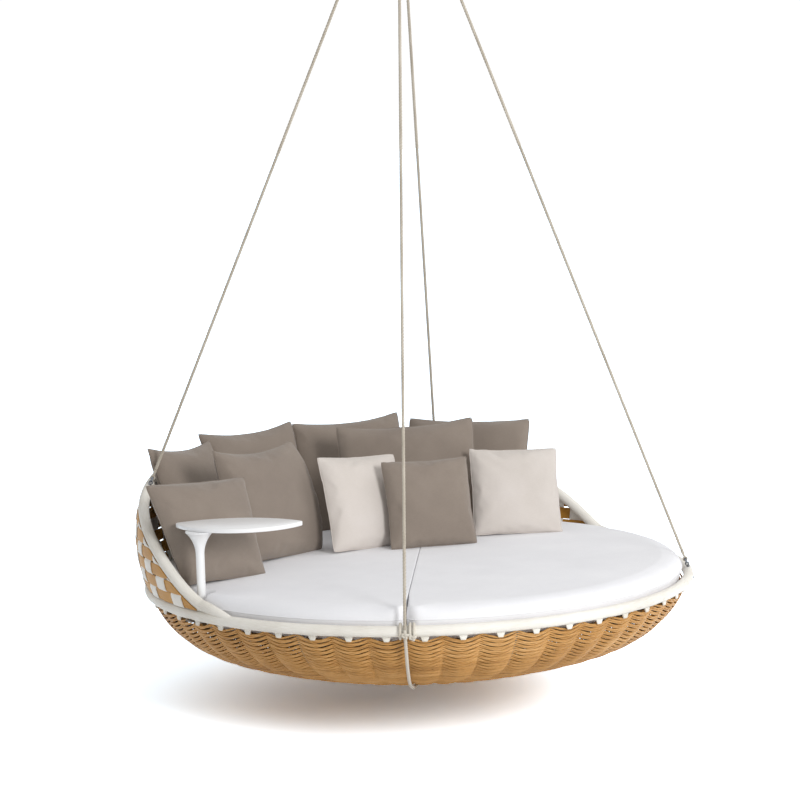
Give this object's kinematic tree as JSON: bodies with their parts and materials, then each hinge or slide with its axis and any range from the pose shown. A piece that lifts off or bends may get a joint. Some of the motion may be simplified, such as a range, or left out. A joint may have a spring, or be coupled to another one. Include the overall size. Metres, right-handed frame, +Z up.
{
  "type": "hanging daybed",
  "caption": "Round hanging daybed: a woven bowl with a raised woven back on ropes under a ceiling swivel, with a split mattress, cushions and a turning leaf table.",
  "frame": {"origin": "centre of the ceiling plate's upper face, which lies against the ceiling", "axes": "+Z up, +Y towards the middle of the raised back, +X to the bed's right seen from the front. The bed hangs 2.35 degrees lower at the back and 0.68 degrees lower at the table, so that its weight is under the pins"},
  "size_m": [2.0005, 2.0202, 3.0158],
  "materials": {
    "steel": "satin",
    "frame_paint": "satin",
    "white_strip": "matte",
    "tan_strip": "matte",
    "wicker": "matte",
    "deck_board": "matte",
    "rope": "matte",
    "mattress_fabric": "matte",
    "taupe_fabric": "matte",
    "cream_fabric": "matte",
    "table_paint": "gloss",
    "bush_plastic": "satin"
  },
  "bodies": {
    "ceiling": {"ceiling_plate": "steel", "swing_pin_upper": "steel"},
    "cross": {"cross_block": "steel", "swing_pin_lower": "steel"},
    "yoke": {"swivel_yoke": "steel", "thrust_washer": "steel"},
    "bed": {"swivel_stem": "steel", "stem_nut": "steel", "rope_plate": "steel", "rope_stops": "steel", "rope_back_left": "rope", "rope_back_right": "rope", "rope_front_right": "rope", "rope_front_left": "rope", "eye_bolts": "steel", "eye_bolt_nuts": "steel", "shackles": "steel", "shackle_pins": "steel", "rope_tails": "rope", "rope_lashing_front": "rope", "rope_lashing_back": "rope", "sling_rope": "rope", "seat_ring_left": "frame_paint", "seat_ring_right": "frame_paint", "ring_spigots": "frame_paint", "ring_wrap": "white_strip", "frame_ribs": "frame_paint", "base_hub": "frame_paint", "deck_ring": "frame_paint", "deck_tubes": "frame_paint", "deck_panel": "deck_board", "bowl_stakes": "wicker", "stake_tabs": "white_strip", "bowl_weave": "wicker", "back_rail": "frame_paint", "back_rail_wrap": "white_strip", "back_uprights": "frame_paint", "back_bands": "tan_strip", "back_straps_outer": "white_strip", "back_straps_inner": "white_strip", "mattress_left": "mattress_fabric", "mattress_right": "mattress_fabric", "cushion_back_1": "taupe_fabric", "cushion_back_2": "taupe_fabric", "cushion_back_3": "taupe_fabric", "cushion_back_4": "taupe_fabric", "cushion_middle_1": "taupe_fabric", "cushion_middle_2": "taupe_fabric", "cushion_middle_3": "taupe_fabric", "cushion_front_1": "cream_fabric", "cushion_front_2": "taupe_fabric", "cushion_front_3": "cream_fabric", "table_socket": "table_paint", "table_bush": "bush_plastic", "socket_bracket": "frame_paint", "bracket_screws": "steel"},
    "table": {"table_post": "table_paint", "table_collar": "table_paint", "table_top": "table_paint"}
  },
  "joints": [
    {"name": "swing_fore_aft", "type": "hinge", "parent": "ceiling", "child": "cross", "pos_m": [0, 0, -0.03], "axis": [1, 0, 0], "range_deg": [-12, 12]},
    {"name": "swing_sideways", "type": "hinge", "parent": "cross", "child": "yoke", "pos_m": [0, -0.00115, -0.05798], "axis": [0, 0.9992, -0.041], "range_deg": [-12, 12]},
    {"name": "turn", "type": "hinge", "parent": "yoke", "child": "bed", "pos_m": [0.00038, -0.00246, -0.08995], "axis": [-0.0119, 0.041, 0.9991], "continuous": true},
    {"name": "table_swivel", "type": "hinge", "parent": "bed", "child": "table", "pos_m": [-0.90143, -0.02698, -2.677], "axis": [-0.0119, 0.041, 0.9991], "range_deg": [-180, 4]}
  ]
}
